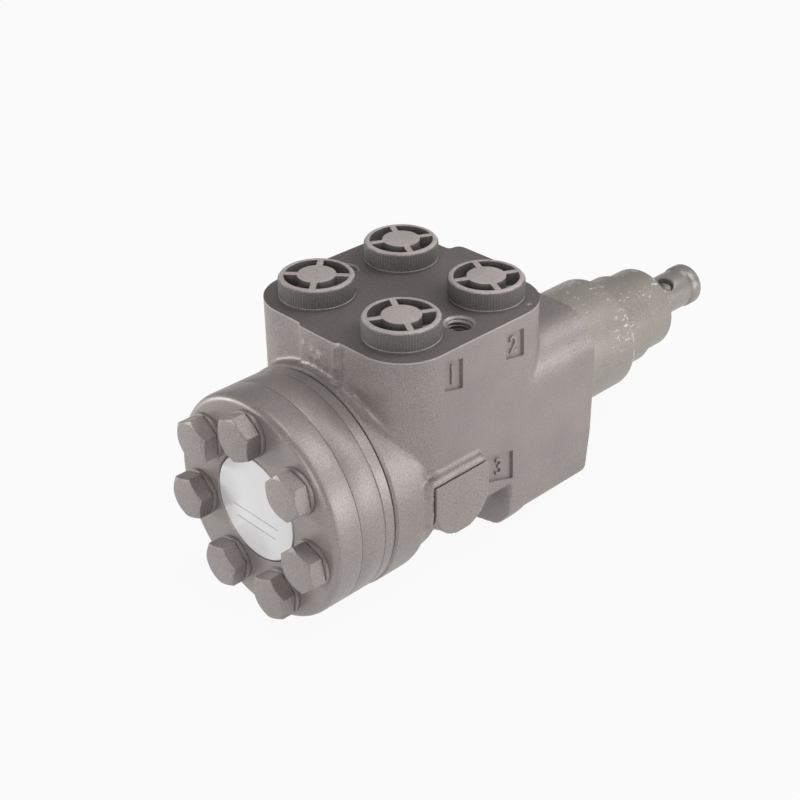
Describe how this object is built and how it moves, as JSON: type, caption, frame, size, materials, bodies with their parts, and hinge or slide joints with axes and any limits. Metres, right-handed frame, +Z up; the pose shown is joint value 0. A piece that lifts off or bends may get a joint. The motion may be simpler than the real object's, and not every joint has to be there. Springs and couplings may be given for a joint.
{
  "type": "orbital steering unit",
  "caption": "Orbital hydraulic steering unit with a gear ring and bolted end cover, a ported cast housing, a rotary valve and a stepped input neck.",
  "frame": {"origin": "centre of the mounting face at the back of the housing, on the shaft axis", "axes": "+Y along the shaft axis out of the mounting face towards the input end, +Z up through the port face, +X towards the side with the blank boss"},
  "size_m": [0.0904, 0.2625, 0.112],
  "materials": {
    "housing_paint": "satin cast",
    "gear_paint": "satin",
    "cover_paint": "satin",
    "screw_paint": "satin",
    "neck_paint": "satin worn",
    "input_paint": "satin",
    "plug_plastic": "matt, lightly oversprayed",
    "label_white": "gloss",
    "ground_steel": "ground",
    "spring_steel": "blued",
    "bearing_steel": "polished",
    "seal_rubber": "matt"
  },
  "bodies": {
    "unit": {"housing": "housing_paint", "distributor_plate": "gear_paint", "gear_ring": "gear_paint", "end_cover": "cover_paint", "cover_screws": "screw_paint", "cover_washers": "screw_paint", "name_plate": "label_white", "seal_rings": "seal_rubber", "thrust_race_outer": "bearing_steel", "shaft_seal": "seal_rubber", "dust_seal": "seal_rubber", "check_bush": "ground_steel", "suction_pins": "spring_steel", "relief_seat": "ground_steel", "relief_spring": "spring_steel", "relief_screw": "ground_steel", "relief_plug": "screw_paint", "neck_housing": "neck_paint", "bearing_outer": "bearing_steel", "bearing_circlip": "spring_steel", "neck_seal": "seal_rubber"},
    "valve_sleeve_set": {"valve_sleeve": "ground_steel", "cross_pin": "ground_steel", "centring_springs": "spring_steel", "spring_ring": "ground_steel", "thrust_race_inner": "bearing_steel"},
    "input_set": {"spool": "ground_steel", "input_shaft": "ground_steel", "bearing_inner": "bearing_steel", "coupling_sleeve": "input_paint"},
    "orbit_set": {"cardan_spacer": "ground_steel"},
    "rotor_set": {"gear_rotor": "ground_steel"},
    "cardan_set": {"cardan_shaft": "ground_steel"},
    "needle_set": {"thrust_cage": "ground_steel", "thrust_needles": "bearing_steel"},
    "ball_set": {"bearing_cage": "ground_steel", "bearing_balls": "bearing_steel"},
    "check_ball_set": {"check_ball": "bearing_steel"},
    "suction_ball_r_set": {"suction_ball_r": "bearing_steel"},
    "suction_ball_l_set": {"suction_ball_l": "bearing_steel"},
    "poppet_set": {"relief_poppet": "ground_steel"},
    "plug_p_set": {"port_plug_p": "plug_plastic"},
    "plug_t_set": {"port_plug_t": "plug_plastic"},
    "plug_l_set": {"port_plug_l": "plug_plastic"},
    "plug_r_set": {"port_plug_r": "plug_plastic"}
  },
  "joints": [
    {"name": "steering_turn", "type": "hinge", "parent": "unit", "child": "valve_sleeve_set", "pos_m": [0, 0, 0], "axis": [0, 1, 0], "continuous": true},
    {"name": "valve_deflection", "type": "hinge", "parent": "valve_sleeve_set", "child": "input_set", "pos_m": [0, 0, 0], "axis": [0, 1, 0], "range_deg": [-8, 8], "stiffness_Nm_per_rad": 10},
    {"name": "rotor_orbit", "type": "hinge", "parent": "unit", "child": "orbit_set", "pos_m": [0, 0, 0], "axis": [0, 1, 0], "continuous": true},
    {"name": "rotor_spin", "type": "hinge", "parent": "orbit_set", "child": "rotor_set", "pos_m": [0, -0.119, 0.0026], "axis": [0, 1, 0], "continuous": true},
    {"name": "cardan_spin", "type": "hinge", "parent": "orbit_set", "child": "cardan_set", "pos_m": [0, -0.0405, 0], "axis": [0, 0.9995, -0.0331], "continuous": true},
    {"name": "needle_cage_turn", "type": "hinge", "parent": "unit", "child": "needle_set", "pos_m": [0, -0.02025, 0], "axis": [0, 1, 0], "continuous": true},
    {"name": "ball_cage_turn", "type": "hinge", "parent": "unit", "child": "ball_set", "pos_m": [0, 0.0605, 0], "axis": [0, 1, 0], "continuous": true},
    {"name": "check_ball_lift", "type": "slide", "parent": "unit", "child": "check_ball_set", "axis": [0, -1, 0], "range_m": [0, 0.0015]},
    {"name": "suction_ball_r_lift", "type": "slide", "parent": "unit", "child": "suction_ball_r_set", "axis": [0, -1, 0], "range_m": [0, 0.0015]},
    {"name": "suction_ball_l_lift", "type": "slide", "parent": "unit", "child": "suction_ball_l_set", "axis": [0, -1, 0], "range_m": [0, 0.0015]},
    {"name": "relief_lift", "type": "slide", "parent": "unit", "child": "poppet_set", "axis": [0, 1, 0], "range_m": [0, 0.001], "stiffness_N_per_m": 2000, "deforming": ["relief_spring"]},
    {"name": "plug_p_pull", "type": "slide", "parent": "unit", "child": "plug_p_set", "axis": [0, 0, 1], "range_m": [0, 0.02]},
    {"name": "plug_t_pull", "type": "slide", "parent": "unit", "child": "plug_t_set", "axis": [0, 0, 1], "range_m": [0, 0.02]},
    {"name": "plug_l_pull", "type": "slide", "parent": "unit", "child": "plug_l_set", "axis": [0, 0, 1], "range_m": [0, 0.02]},
    {"name": "plug_r_pull", "type": "slide", "parent": "unit", "child": "plug_r_set", "axis": [0, 0, 1], "range_m": [0, 0.02]}
  ],
  "couplings": [
    {"joint": "rotor_orbit", "follows": "steering_turn", "ratio": -6},
    {"joint": "rotor_spin", "follows": "steering_turn", "ratio": 7},
    {"joint": "cardan_spin", "follows": "steering_turn", "ratio": 7},
    {"joint": "needle_cage_turn", "follows": "steering_turn", "ratio": 0.5},
    {"joint": "ball_cage_turn", "follows": "steering_turn", "ratio": 0.41}
  ]
}
